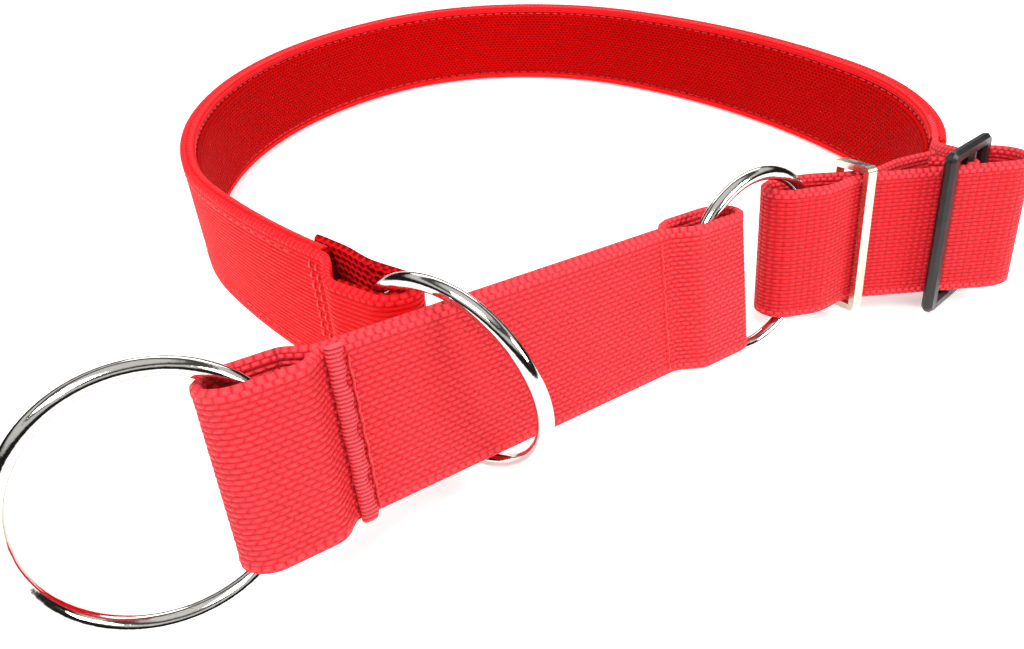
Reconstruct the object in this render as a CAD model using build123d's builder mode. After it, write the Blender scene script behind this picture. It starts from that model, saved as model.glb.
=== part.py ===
"""Limited-slip dog training collar: padded neck band, doubled pull strap, three rings,
tri-glide slider and strap keeper, standing on the lower edge of its webbing.

Frame: millimetres, +Z up. The origin is the middle of the neck opening, at the level the collar
stands on. The band's back is towards +Y and its two ends meet at the front, towards -Y.
"""

from build123d import *
from math import cos, degrees, radians, sin
import os

os.makedirs("parts", exist_ok=True)

# ---------------------------------------------------------------- driving dimensions
WEB_WIDTH = 24.6            # nominal 25 mm webbing
WEB_THICK = 1.2
FOAM_THICK = 1.6
LINING_THICK = 0.6
GLUE_LINE = 0.05            # gap between the band's layers
BAND_THICK = WEB_THICK + FOAM_THICK + LINING_THICK + 2 * GLUE_LINE
FOAM_MARGIN = 1.2           # the foam stops short of the webbing's edges
LINING_MARGIN = 0.4
THREAD = 0.3                # thickness of a stitch row
STITCH_MARGIN = 2.4         # stitch row to the webbing's edge
STITCH_ROWS = (STITCH_MARGIN, WEB_WIDTH - STITCH_MARGIN - THREAD)

RING_RADIUS = 15.9          # centre line of the wire
WIRE_RADIUS = 1.2

POCKET_HALF = 3.2           # inside half-gap of a webbing loop that holds a ring
SEAM_THREAD_WIDTH = 0.8     # a stitch row seen along the webbing

# ---------------------------------------------------------------- neck band, in plan
# A run is (start point, heading in degrees, [(radius, turn in degrees), ...]) along the outer face.
BEND_POINT = (-63.7, 53.7)                  # the bend where the collar opens and closes
BEND_HEADING = 231.5
BEND_GAP = 0.5                              # each arm stops this far from the bend
LEFT_RUN = (BEND_POINT, BEND_HEADING, [(94.5, 73.9), (242.0, 10.4)])
RIGHT_RUN = (BEND_POINT, BEND_HEADING - 180,
             [(94.5, -13.5), (62.0, -38.0), (72.6, -36.8), (152.7, -31.1), (61.8, -48.7)])

# The left arm's lower edge leaves the ground towards its end.
RISE_LEAD_IN = 5.0
RISE_START_Y = -35.0
RISE_RADIUS = 120.0
RISE_ANGLE = 6.2
ARM_END_Y = -125.0
TALL = 45.0                 # left arm's pieces are drawn this high, then cut to their own edges
CUT_REACH = 150.0

# ---------------------------------------------------------------- rings and straps
SLIDE_RING_CENTRE = Vector(-17.4, -111.6, 19.45)
SLIDE_RING_AZIMUTH, SLIDE_RING_TILT = 52.0, 6.0
BAND_LOOP_HEADING = -38.0                   # lies in the slide ring's plane
BAND_LOOP_REACH = 5.6                       # ring centre to the outside of the loop's fold
BAND_LOOP_HALF = 3.4                        # inside half-gap, before its lining
BAND_LOOP_STRAIGHT = 12.0                   # the loop stays this open, measured from its fold
LOOP_LINING_THICK = 0.5
LOOP_TAB = 6.0                              # length sewn down on the neck side
LOOP_SEAM_SETBACK = 1.5

STRAP_CORNER = Vector(-42.6, -137.4, 11.2)  # lower corner of the left fold
STRAP_AZIMUTH, STRAP_SLOPE, STRAP_LEAN = 34.9, -4.35, 15.0
STRAP_LENGTH = 90.8
LEFT_POCKET_STRAIGHT, LEFT_POCKET_DEPTH = 10.9, 15.4     # fold to taper, fold to seam
RIGHT_POCKET_STRAIGHT, RIGHT_POCKET_DEPTH = 12.0, 17.4
CUT_END_LENGTH, CUT_END_THICK = 1.6, 1.0
LEFT_SEAM_SETBACK, RIGHT_SEAM_SETBACK = 2.8, 1.0         # stitch row beyond its pocket
LEASH_RING_REACH = 6.3                      # ring centre to the outside of the strap's fold
LEASH_RING_SWING = 8.0                      # rest angle between the ring and the strap
LEASH_SWING_AXIS = 6.0                      # swing axis to the outside of the fold
SEAM_GAP = 0.04                             # between the strap's two plies

END_RING_CENTRE = Vector(34.06, -80.41, 16.94)
END_RING_AZIMUTH, END_RING_TILT = 124.7, -9.2

# ---------------------------------------------------------------- adjuster, slider and keeper
# The adjuster leans back a little. Its path is drawn in its own plane: +X along the webbing towards
# the slider, +Y towards the neck, and its width along the plane's normal.
ADJUSTER_ORIGIN = Vector(57.0, -74.0, 4.2)
ADJUSTER_WIDTH_AXIS = Vector(-0.045, 0.15, 1.0).normalized()
ADJUSTER_FOLD = Vector(-19.5, -2.6)         # outside of the fold that holds the end ring
ADJUSTER_FOLD_HEADING = 9.0
ADJUSTER_POCKET_STRAIGHT = 9.0
FRONT_PLY_Y = 0.4
FRONT_PLY_START, FRONT_PLY_END = 1.5, 25.5
BULGE_RADIUS, BULGE_TURN = 5.5, 150.0
REAR_PLY = [(3.5, 3.8), (9.5, 8.0), (17.0, 10.8)]
REAR_PLY_WAY = (1.0, 0.25)
TAB_LENGTH = 15.0                           # adjuster webbing sewn inside the band's right end
TAB_GAP = 1.0
JOIN_SEAMS = (3.0, 13.0)                    # stitch rows, from the band's right end
TURN_MIDDLE = Vector(80.9, -57.0, 1.4)     # between the bulge and the band's end
TURN_MIDDLE_HEADING = 113.0

SLIDER_ANGLE = 43.0                         # the slider's face to the front ply
SLIDER_NEAR_BAR = (14.0, -1.5)
SLIDER_BAR, SLIDER_DEPTH, SLIDER_BAR_PITCH = 2.2, 2.0, 7.0
SLIDER_HEIGHT, SLIDER_RAIL, SLIDER_CORNER = 31.0, 2.4, 1.8
SLIDER_OUTER_EXTRA = 0.9                    # the outer bars are this much wider than the centre bar
SLIDER_EDGE = 0.6
RETURN_THICK = 0.8                          # webbing end, pressed thin where it is sewn
RETURN_CLEARANCE = 0.12
RETURN_END = (14.0, 6.8)
RETURN_WAY = 158.0                          # heading of the end's last straight
RETURN_SEAM_SETBACK = 1.8
WRAP_START, WRAP_END = -120.0, 70.0         # wrap round the centre bar, in degrees

KEEPER_MIDDLE = (-1.9, 1.85)
KEEPER_SKEW = 25.0
KEEPER_BAR, KEEPER_THICK, KEEPER_DEPTH = 2.0, 1.2, 7.3
KEEPER_HEIGHT, KEEPER_CORNER = 28.0, 1.1


def heading_vector(angle):
    """Unit vector in plan for a heading in degrees from +X."""
    return Vector(cos(radians(angle)), sin(radians(angle)), 0)


def direction(azimuth, elevation):
    """Unit vector from its azimuth and its angle above the ground."""
    return heading_vector(azimuth) * cos(radians(elevation)) + Vector(0, 0, sin(radians(elevation)))


def left_of(angle):
    """Unit vector to the left of a heading."""
    return heading_vector(angle + 90)


def sign(value):
    return 1 if value > 0 else -1


def arc_end(start, heading, radius, turn):
    """Point and heading after a tangent arc; a positive turn goes left."""
    centre = Vector(*start) + left_of(heading) * radius * sign(turn)
    end = centre - left_of(heading + turn) * radius * sign(turn)
    return (end.X, end.Y), heading + turn


def trimmed(run, at_start=0.0, at_end=0.0):
    """The same run with a length taken off its first and last arcs."""
    start, heading, arcs = run
    arcs = list(arcs)
    radius, turn = arcs[0]
    skip = degrees(at_start / radius) * sign(turn)
    if skip:
        start, heading = arc_end(start, heading, radius, skip)
    arcs[0] = (radius, turn - skip)
    radius, turn = arcs[-1]
    arcs[-1] = (radius, turn - degrees(at_end / radius) * sign(turn))
    return start, heading, arcs


def run_end(run):
    """Point and heading where a run's outer face ends."""
    point, heading, arcs = run
    for radius, turn in arcs:
        point, heading = arc_end(point, heading, radius, turn)
    return Vector(*point), heading


def draw_run(run, inset):
    """Draw a run moved inwards by inset, inside an open BuildLine."""
    start, heading, arcs = run
    side = sign(arcs[0][1])
    point = Vector(*start) + left_of(heading) * side * inset
    for radius, turn in arcs:
        way = heading_vector(heading)
        arc = JernArc(start=point, tangent=way, radius=radius - inset, arc_size=turn)
        point = arc @ 1
        heading += turn


def draw_lower_edge(height):
    """Draw the left arm's lower edge, lifted by height, in the YZ plane."""
    start = (BEND_POINT[1] + RISE_LEAD_IN, height)
    flat = Line(start, (RISE_START_Y, height))
    rise = JernArc(start=flat @ 1, tangent=(-1, 0), radius=RISE_RADIUS, arc_size=-RISE_ANGLE)
    corner = rise @ 1
    run_out = corner.X - ARM_END_Y
    top = corner.Y + run_out * sin(radians(RISE_ANGLE)) / cos(radians(RISE_ANGLE))
    last = Line(corner, (ARM_END_Y, top))
    return flat @ 0, last @ 1


def keep_between(*strips):
    """Cut the open part to strips between two heights above the left arm's lower edge."""
    with BuildSketch(Plane.YZ) as side:
        for low, high in strips:
            with BuildLine() as edges:
                low_start, low_end = draw_lower_edge(low)
                high_start, high_end = draw_lower_edge(high)
                Line(low_start, high_start)
                Line(low_end, high_end)
            make_face(edges.edges())
    extrude(side.sketch, amount=CUT_REACH, both=True, mode=Mode.INTERSECT)


def finish(part, name):
    """Label a piece and write it."""
    part.label = name
    export_step(part, f"parts/{name}.step")


def draw_pocket(fold, heading, half, straight):
    """Draw the webbing of a loop that lies along a heading, from one ply round the fold to the other.

    fold is the outside of the fold and the loop runs from it along heading. The first ply is on the
    right of the heading. Returns the loop's two ends.
    """
    along = heading_vector(heading)
    radius = half + WEB_THICK / 2
    aside = left_of(heading) * radius
    centre = fold + along * (half + WEB_THICK)
    deep = fold + along * straight
    first = Line(deep - aside, centre - aside)
    ThreePointArc(first @ 1, centre - along * radius, centre + aside)
    second = Line(centre + aside, deep + aside)
    return first @ 0, second @ 1


# ================================================================ band, back and right arm
right_full = trimmed(RIGHT_RUN, at_start=BEND_GAP)
right_padded = trimmed(RIGHT_RUN, at_start=BEND_GAP, at_end=TAB_LENGTH + TAB_GAP)

with BuildPart() as right_outer_webbing:
    with BuildSketch():
        with BuildLine():
            draw_run(right_full, WEB_THICK / 2)
        trace(line_width=WEB_THICK)
    extrude(amount=WEB_WIDTH)
finish(right_outer_webbing.part, "right_outer_webbing")

with BuildPart() as right_foam_core:
    with BuildSketch(Plane.XY.offset(FOAM_MARGIN)):
        with BuildLine():
            draw_run(right_padded, WEB_THICK + GLUE_LINE + FOAM_THICK / 2)
        trace(line_width=FOAM_THICK)
    extrude(amount=WEB_WIDTH - 2 * FOAM_MARGIN)
finish(right_foam_core.part, "right_foam_core")

LINING_INSET = BAND_THICK - LINING_THICK / 2
with BuildPart() as right_mesh_lining:
    with BuildSketch(Plane.XY.offset(LINING_MARGIN)):
        with BuildLine():
            draw_run(right_full, LINING_INSET)
        trace(line_width=LINING_THICK)
    extrude(amount=WEB_WIDTH - 2 * LINING_MARGIN)
finish(right_mesh_lining.part, "right_mesh_lining")

STITCH_INSET = BAND_THICK + THREAD / 2 + GLUE_LINE
with BuildPart() as right_edge_stitching:
    for row in STITCH_ROWS:
        with BuildSketch(Plane.XY.offset(row)):
            with BuildLine():
                draw_run(right_full, STITCH_INSET)
            trace(line_width=THREAD)
        extrude(amount=THREAD)
finish(right_edge_stitching.part, "right_edge_stitching")

# ================================================================ band, left arm
left_full = trimmed(LEFT_RUN, at_start=BEND_GAP)
left_padded = trimmed(LEFT_RUN, at_start=BEND_GAP, at_end=1.0)
left_seam, seam_heading = run_end(LEFT_RUN)

loop_back = BAND_LOOP_HEADING + 180         # from the fold towards the band
loop_fold = SLIDE_RING_CENTRE - heading_vector(BAND_LOOP_HEADING) * BAND_LOOP_REACH
loop_fold = Vector(loop_fold.X, loop_fold.Y)

with BuildPart() as left_outer_webbing:
    with BuildSketch():
        with BuildLine():
            draw_run(left_full, WEB_THICK / 2)
            outer_end = left_seam + left_of(seam_heading) * WEB_THICK / 2
            neck_ply, outer_ply = draw_pocket(loop_fold, loop_back, BAND_LOOP_HALF, BAND_LOOP_STRAIGHT)
            Spline(outer_end, outer_ply,
                   tangents=[heading_vector(seam_heading), heading_vector(BAND_LOOP_HEADING)])
            tab_inset = BAND_THICK + 2 * GLUE_LINE + WEB_THICK / 2
            tab_start = left_seam + left_of(seam_heading) * tab_inset
            Spline(neck_ply, tab_start,
                   tangents=[heading_vector(loop_back), heading_vector(seam_heading + 180)])
            Line(tab_start, tab_start - heading_vector(seam_heading) * LOOP_TAB)
        trace(line_width=WEB_THICK)
    extrude(amount=TALL)
    keep_between((0, WEB_WIDTH))
finish(left_outer_webbing.part, "left_outer_webbing")

with BuildPart() as left_foam_core:
    with BuildSketch():
        with BuildLine():
            draw_run(left_padded, WEB_THICK + GLUE_LINE + FOAM_THICK / 2)
        trace(line_width=FOAM_THICK)
    extrude(amount=TALL)
    keep_between((FOAM_MARGIN, WEB_WIDTH - FOAM_MARGIN))
finish(left_foam_core.part, "left_foam_core")

with BuildPart() as left_mesh_lining:
    with BuildSketch():
        with BuildLine():
            draw_run(left_full, LINING_INSET)
        trace(line_width=LINING_THICK)
    extrude(amount=TALL)
    keep_between((LINING_MARGIN, WEB_WIDTH - LINING_MARGIN))
finish(left_mesh_lining.part, "left_mesh_lining")

with BuildPart() as ring_loop_lining:
    with BuildSketch():
        with BuildLine():
            lining_radius = BAND_LOOP_HALF - GLUE_LINE - LOOP_LINING_THICK / 2
            loop_along = heading_vector(loop_back)
            loop_aside = left_of(loop_back) * lining_radius
            loop_centre = loop_fold + loop_along * (BAND_LOOP_HALF + WEB_THICK)
            loop_deep = loop_fold + loop_along * BAND_LOOP_STRAIGHT
            Line(loop_deep - loop_aside, loop_centre - loop_aside)
            ThreePointArc(loop_centre - loop_aside, loop_centre - loop_along * lining_radius,
                          loop_centre + loop_aside)
            Line(loop_centre + loop_aside, loop_deep + loop_aside)
        trace(line_width=LOOP_LINING_THICK)
    extrude(amount=TALL)
    keep_between((LINING_MARGIN, WEB_WIDTH - LINING_MARGIN))
finish(ring_loop_lining.part, "ring_loop_lining")

with BuildPart() as left_edge_stitching:
    with BuildSketch():
        with BuildLine():
            draw_run(trimmed(left_full, at_end=LOOP_TAB + 1), STITCH_INSET)
        trace(line_width=THREAD)
    extrude(amount=TALL)
    keep_between(*[(row, row + THREAD) for row in STITCH_ROWS])
finish(left_edge_stitching.part, "left_edge_stitching")

SEAM_INSETS = (-GLUE_LINE - THREAD / 2, tab_inset + WEB_THICK / 2 + GLUE_LINE + THREAD / 2)
with BuildPart() as ring_loop_seam_stitching:
    for seam_inset in SEAM_INSETS:
        spot = left_seam - heading_vector(seam_heading) * LOOP_SEAM_SETBACK
        spot += left_of(seam_heading) * seam_inset
        with BuildSketch(Plane(spot, x_dir=heading_vector(seam_heading), z_dir=(0, 0, 1))):
            Rectangle(SEAM_THREAD_WIDTH, THREAD)
        extrude(amount=TALL)
    keep_between((STITCH_MARGIN, WEB_WIDTH - STITCH_MARGIN))
finish(ring_loop_seam_stitching.part, "ring_loop_seam_stitching")

# ================================================================ rings
strap_along = direction(STRAP_AZIMUTH, STRAP_SLOPE)
strap_level = left_of(STRAP_AZIMUTH)
strap_upright = strap_along.cross(strap_level)
strap_width = strap_upright * cos(radians(STRAP_LEAN)) + strap_level * sin(radians(STRAP_LEAN))
strap_plane = Plane(STRAP_CORNER, x_dir=strap_along, z_dir=strap_width)
strap_back = strap_plane.y_dir

leash_pivot = STRAP_CORNER + strap_along * LEASH_SWING_AXIS + strap_width * WEB_WIDTH / 2
leash_swing = radians(LEASH_RING_SWING)
leash_out = -strap_along * cos(leash_swing) + strap_back * sin(leash_swing)
leash_centre = leash_pivot + leash_out * (LEASH_SWING_AXIS + LEASH_RING_REACH)

RING_PLACES = {
    "slide_ring": (SLIDE_RING_CENTRE, direction(SLIDE_RING_AZIMUTH, SLIDE_RING_TILT)),
    "end_ring": (END_RING_CENTRE, direction(END_RING_AZIMUTH, END_RING_TILT)),
    "leash_ring": (leash_centre, strap_width.cross(leash_out)),
}
for ring_name, (ring_centre, ring_normal) in RING_PLACES.items():
    with BuildPart(Plane(ring_centre, z_dir=ring_normal)) as ring:
        Torus(RING_RADIUS, WIRE_RADIUS)
    finish(ring.part, ring_name)

# ================================================================ pull strap
PLY_OFFSET = (WEB_THICK + SEAM_GAP) / 2
STRAP_HALF = WEB_THICK + SEAM_GAP / 2
POCKETS = [(Vector(0, 0), 0, LEFT_POCKET_STRAIGHT, LEFT_POCKET_DEPTH),
           (Vector(STRAP_LENGTH, 0), 180, RIGHT_POCKET_STRAIGHT, RIGHT_POCKET_DEPTH)]
closed_length = STRAP_LENGTH - LEFT_POCKET_DEPTH - RIGHT_POCKET_DEPTH

with BuildPart() as pull_strap:
    with BuildSketch(strap_plane):
        for fold, heading, straight, depth in POCKETS:
            along = heading_vector(heading)
            aside = left_of(heading)
            seam = fold + along * depth
            with BuildLine():
                first_ply, second_ply = draw_pocket(fold, heading, POCKET_HALF, straight)
                Spline(first_ply, seam - aside * PLY_OFFSET, tangents=[along, along])
                Spline(second_ply, seam + aside * PLY_OFFSET, tangents=[along, along])
            trace(line_width=WEB_THICK)
        with Locations((LEFT_POCKET_DEPTH + closed_length / 2, 0)):
            Rectangle(closed_length, 2 * STRAP_HALF)
    extrude(amount=WEB_WIDTH)
finish(pull_strap.part, "pull_strap")

cut_end_middle = (LEFT_POCKET_DEPTH + CUT_END_LENGTH / 2, -STRAP_HALF - GLUE_LINE - CUT_END_THICK / 2)
with BuildPart() as pull_strap_cut_end:
    with BuildSketch(strap_plane):
        with Locations(cut_end_middle):
            Rectangle(CUT_END_LENGTH, CUT_END_THICK)
    extrude(amount=WEB_WIDTH)
finish(pull_strap_cut_end.part, "pull_strap_cut_end")


def strap_seam(place, name):
    """A stitch row across the strap, on both faces."""
    with BuildPart() as seam_rows:
        with BuildSketch(strap_plane.offset(STITCH_MARGIN)):
            for face in (-1, 1):
                with Locations((place, face * (STRAP_HALF + GLUE_LINE + THREAD / 2))):
                    Rectangle(SEAM_THREAD_WIDTH, THREAD)
        extrude(amount=WEB_WIDTH - 2 * STITCH_MARGIN)
    finish(seam_rows.part, name)


strap_seam(LEFT_POCKET_DEPTH + LEFT_SEAM_SETBACK, "pull_strap_left_seam")
strap_seam(STRAP_LENGTH - RIGHT_POCKET_DEPTH - RIGHT_SEAM_SETBACK, "pull_strap_right_seam")

# ================================================================ adjuster
adjuster_way = Vector(1, 0, -ADJUSTER_WIDTH_AXIS.X / ADJUSTER_WIDTH_AXIS.Z)
adjuster_plane = Plane(ADJUSTER_ORIGIN, x_dir=adjuster_way, z_dir=ADJUSTER_WIDTH_AXIS)
band_end, band_end_heading = run_end(RIGHT_RUN)
tab_depth = WEB_THICK + GLUE_LINE + FOAM_THICK / 2
last_arc = (*run_end((RIGHT_RUN[0], RIGHT_RUN[1], RIGHT_RUN[2][:-1])), RIGHT_RUN[2][-1:])
last_arc_length = RIGHT_RUN[2][-1][0] * radians(abs(RIGHT_RUN[2][-1][1]))
tab_run = trimmed(last_arc, at_start=last_arc_length - TAB_LENGTH)
tab_mouth = band_end - left_of(band_end_heading) * tab_depth
half_width = Vector(0, 0, WEB_WIDTH / 2)


def adjuster_frame(spot, heading):
    """Plane at a point of the adjuster's path, half way up: X along a heading, Z away from the neck."""
    middle = adjuster_plane.from_local_coords(spot + half_width)
    along = adjuster_plane.from_local_coords(spot + half_width + heading_vector(heading)) - middle
    return Plane(middle, x_dir=along, z_dir=along.cross(ADJUSTER_WIDTH_AXIS))


with BuildPart() as adjuster_webbing:
    with BuildSketch(adjuster_plane):
        with BuildLine():
            front_end, rear_end = draw_pocket(ADJUSTER_FOLD, ADJUSTER_FOLD_HEADING, POCKET_HALF,
                                              ADJUSTER_POCKET_STRAIGHT)
            fold_way = heading_vector(ADJUSTER_FOLD_HEADING)
            front_start = (FRONT_PLY_START, FRONT_PLY_Y)
            Spline(front_end, front_start, tangents=[fold_way, (1, 0)])
            front_ply = Line(front_start, (FRONT_PLY_END, FRONT_PLY_Y))
            bulge = JernArc(start=front_ply @ 1, tangent=(1, 0), radius=BULGE_RADIUS, arc_size=BULGE_TURN)
            Spline(rear_end, *REAR_PLY, tangents=[fold_way, REAR_PLY_WAY])
        trace(line_width=WEB_THICK)
    extrude(amount=WEB_WIDTH)
    bulge_end = adjuster_frame(bulge @ 1, BULGE_TURN)
    twist_sections = (
        Plane(bulge_end.origin, x_dir=ADJUSTER_WIDTH_AXIS, z_dir=bulge_end.x_dir),
        Plane(TURN_MIDDLE + half_width, x_dir=ADJUSTER_WIDTH_AXIS + Vector(0, 0, 1),
              z_dir=heading_vector(TURN_MIDDLE_HEADING)),
        Plane(tab_mouth + half_width, x_dir=(0, 0, 1), z_dir=heading_vector(band_end_heading + 180)),
    )
    for section in twist_sections:
        with BuildSketch(section):
            Rectangle(WEB_WIDTH, WEB_THICK)
    loft()
    with BuildSketch():
        with BuildLine():
            draw_run(tab_run, tab_depth)
        trace(line_width=WEB_THICK)
    extrude(amount=WEB_WIDTH)
finish(adjuster_webbing.part, "adjuster_webbing")

# ================================================================ slider, with the webbing end sewn to it
centre_bar = Vector(*SLIDER_NEAR_BAR) + heading_vector(SLIDER_ANGLE) * SLIDER_BAR_PITCH
slider_plane = adjuster_frame(centre_bar, SLIDER_ANGLE)
SLIDER_LENGTH = 2 * (SLIDER_BAR_PITCH + SLIDER_OUTER_EXTRA) + SLIDER_BAR
SLOT_LENGTH = SLIDER_BAR_PITCH - SLIDER_BAR
SLOT_HEIGHT = SLIDER_HEIGHT - 2 * SLIDER_RAIL

with BuildPart() as tri_glide_slider:
    with BuildSketch(slider_plane.offset(-SLIDER_DEPTH / 2)):
        RectangleRounded(SLIDER_LENGTH, SLIDER_HEIGHT, SLIDER_CORNER)
        with GridLocations(SLIDER_BAR_PITCH, 0, 2, 1):
            Rectangle(SLOT_LENGTH, SLOT_HEIGHT, mode=Mode.SUBTRACT)
    extrude(amount=SLIDER_DEPTH)
    plate_faces = faces().filter_by(Axis(slider_plane.origin, slider_plane.z_dir))
    chamfer(plate_faces.edges(), SLIDER_EDGE)
finish(tri_glide_slider.part, "tri_glide_slider")

wrap_radius = SLIDER_BAR / 2 + RETURN_CLEARANCE + RETURN_THICK / 2
with BuildPart() as adjuster_return_end:
    with BuildSketch(adjuster_plane):
        with BuildLine():
            wrap = CenterArc(centre_bar, wrap_radius, WRAP_START, WRAP_END - WRAP_START)
            Line(wrap @ 1, RETURN_END)
        trace(line_width=RETURN_THICK)
    extrude(amount=WEB_WIDTH)
finish(adjuster_return_end.part, "adjuster_return_end")

with BuildPart() as return_end_stitching:
    stitch_spot = Vector(*RETURN_END) - heading_vector(RETURN_WAY) * RETURN_SEAM_SETBACK
    stitch_spot += left_of(RETURN_WAY) * (RETURN_THICK / 2 + GLUE_LINE + THREAD / 2)
    with BuildSketch(adjuster_plane.offset(STITCH_MARGIN)):
        with Locations(stitch_spot):
            Rectangle(SEAM_THREAD_WIDTH, THREAD, rotation=RETURN_WAY)
    extrude(amount=WEB_WIDTH - 2 * STITCH_MARGIN)
finish(return_end_stitching.part, "return_end_stitching")

# ================================================================ keeper
keeper_plane = adjuster_frame(Vector(*KEEPER_MIDDLE), 90 + KEEPER_SKEW)

with BuildPart() as strap_keeper:
    with BuildSketch(keeper_plane.offset(-KEEPER_BAR / 2)):
        RectangleRounded(KEEPER_DEPTH + KEEPER_THICK, KEEPER_HEIGHT, KEEPER_CORNER)
        Rectangle(KEEPER_DEPTH - KEEPER_THICK, KEEPER_HEIGHT - 2 * KEEPER_THICK, mode=Mode.SUBTRACT)
    extrude(amount=KEEPER_BAR)
finish(strap_keeper.part, "strap_keeper")

# ================================================================ adjuster join
with BuildPart() as adjuster_join_stitching:
    for setback in JOIN_SEAMS:
        spot, spot_heading = run_end(trimmed(RIGHT_RUN, at_end=setback))
        spot += left_of(spot_heading) * (THREAD / 2 + GLUE_LINE)
        seam_plane = Plane(spot, x_dir=heading_vector(spot_heading), z_dir=(0, 0, 1))
        with BuildSketch(seam_plane.offset(STITCH_MARGIN)):
            Rectangle(SEAM_THREAD_WIDTH, THREAD)
    extrude(amount=WEB_WIDTH - 2 * STITCH_MARGIN)
finish(adjuster_join_stitching.part, "adjuster_join_stitching")
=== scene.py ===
"""Looks of the limited-slip training collar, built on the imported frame.

Lengths are worked out in millimetres, in the shared frame, and turned into metres when a mesh is made.
"""

from math import ceil, cos, degrees, pi, radians, sin, tan

import bmesh
import bpy
import numpy as np
from mathutils import Matrix, Vector


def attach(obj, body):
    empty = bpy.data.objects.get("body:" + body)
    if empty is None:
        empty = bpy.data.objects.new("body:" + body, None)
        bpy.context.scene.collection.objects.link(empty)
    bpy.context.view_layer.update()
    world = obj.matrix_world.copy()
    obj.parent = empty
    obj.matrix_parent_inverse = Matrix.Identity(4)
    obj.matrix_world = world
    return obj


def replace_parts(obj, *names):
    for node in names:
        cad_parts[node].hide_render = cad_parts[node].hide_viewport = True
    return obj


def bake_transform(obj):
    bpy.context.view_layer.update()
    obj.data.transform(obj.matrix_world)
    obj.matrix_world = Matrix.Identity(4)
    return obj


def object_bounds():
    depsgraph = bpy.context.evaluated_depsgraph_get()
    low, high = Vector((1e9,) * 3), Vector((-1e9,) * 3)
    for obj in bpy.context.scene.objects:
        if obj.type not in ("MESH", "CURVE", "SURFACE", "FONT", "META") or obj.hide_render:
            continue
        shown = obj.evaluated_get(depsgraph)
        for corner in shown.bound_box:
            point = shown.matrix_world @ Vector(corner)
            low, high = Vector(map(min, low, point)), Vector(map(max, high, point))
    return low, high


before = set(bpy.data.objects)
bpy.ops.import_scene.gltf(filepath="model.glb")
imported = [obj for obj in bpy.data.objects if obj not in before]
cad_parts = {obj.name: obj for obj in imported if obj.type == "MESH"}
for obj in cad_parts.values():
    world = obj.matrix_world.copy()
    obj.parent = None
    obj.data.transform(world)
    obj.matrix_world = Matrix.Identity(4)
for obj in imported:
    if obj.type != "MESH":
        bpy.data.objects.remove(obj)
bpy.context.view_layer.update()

MM = 0.001
UP = np.array((0.0, 0.0, 1.0))

# ---------------------------------------------------------------- sizes shared with the CAD model
WEB_WIDTH = 24.6
WEB_THICK = 1.2
STITCH_MARGIN = 2.4

RING_RADIUS = 15.9
WIRE_RADIUS = 1.2
POCKET_HALF = 3.2

BEND_POINT = (-63.7, 53.7)
BEND_HEADING = 231.5
LEFT_ARCS = [(94.5, 73.9), (242.0, 10.4)]
RIGHT_ARCS = [(94.5, -13.5), (62.0, -38.0), (72.6, -36.8), (152.7, -31.1), (61.8, -48.7)]
RISE_START_Y = -35.0
RISE_RADIUS = 120.0
RISE_ANGLE = 6.2

SLIDE_RING_CENTRE = (-17.4, -111.6, 19.45)
SLIDE_RING_WAY = (52.0, 6.0)
BAND_LOOP_HEADING = -38.0
BAND_LOOP_REACH = 5.6
BAND_LOOP_HALF = 3.4
BAND_LOOP_STRAIGHT = 12.0
LOOP_TAB = 6.0
TAB_INSET = 4.2

STRAP_CORNER = np.array((-42.6, -137.4, 11.2))
STRAP_AZIMUTH, STRAP_SLOPE, STRAP_LEAN = 34.9, -4.35, 15.0
STRAP_LENGTH = 90.8
LEFT_POCKET = (10.9, 15.4)
RIGHT_POCKET = (12.0, 17.4)
PLY_OFFSET = 0.62
LEASH_RING_REACH = 6.3
LEASH_RING_SWING = 8.0
LEASH_SWING_AXIS = 6.0
END_RING_CENTRE = (34.06, -80.41, 16.94)
END_RING_WAY = (124.7, -9.2)

ADJUSTER_ORIGIN = np.array((57.0, -74.0, 4.2))
ADJUSTER_WIDTH_AXIS = np.array((-0.045, 0.15, 1.0))
ADJUSTER_FOLD = (-19.5, -2.6)
ADJUSTER_FOLD_HEADING = 9.0
ADJUSTER_POCKET_STRAIGHT = 9.0
FRONT_PLY_Y = 0.4
FRONT_PLY = (1.5, 25.5)
BULGE_RADIUS, BULGE_TURN = 5.5, 150.0
REAR_PLY = [(3.5, 3.8), (9.5, 8.0), (17.0, 10.8)]
REAR_PLY_WAYS = [(1.0, 0.75), (1.0, 0.45), (1.0, 0.25)]
KEEPER_MIDDLE_Y = 1.85
KEEPER_PRESS = 0.55
KEEPER_PRESS_X, KEEPER_PRESS_WIDTH = -4.0, 2.7
TAB_POINTS = 15
TAB_DEPTH = 2.05
TURN_MIDDLE = (80.9, -57.0, 1.4)
TURN_MIDDLE_HEADING = 113.0
SLIDER_ANGLE = 43.0
SLIDER_NEAR_BAR = (14.0, -1.5)
SLIDER_BAR_PITCH = 7.0
RETURN_RADIUS = 1.62
RETURN_THICK = 0.8
RETURN_WRAP = (-120.0, 70.0)
RETURN_END = (14.0, 6.8)
RETURN_END_WAY = (-1.0, 0.4)

# Spacing of the points along each swept line, and of the stitches.
BAND_STEP = 0.9
STRAP_STEP = 0.36
ADJUSTER_STEP = 0.7
RETURN_STEP = 0.4
LOOP_LINING_STEP = 0.6
TAPE_SPACING = 0.8
BAND_STITCH_STEP = 2.9


# ---------------------------------------------------------------- paths
def heading_vector(angle):
    """Unit vector in plan, from its heading in degrees."""
    return np.array((cos(radians(angle)), sin(radians(angle))))


def left_of(angle):
    """Unit vector in plan, a quarter turn left of a heading."""
    return heading_vector(angle + 90)


def direction(azimuth, elevation):
    """Unit vector from its azimuth and its angle above the ground."""
    flat = heading_vector(azimuth) * cos(radians(elevation))
    return np.array((flat[0], flat[1], sin(radians(elevation))))


def unit(vector):
    return vector / np.linalg.norm(vector)


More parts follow.
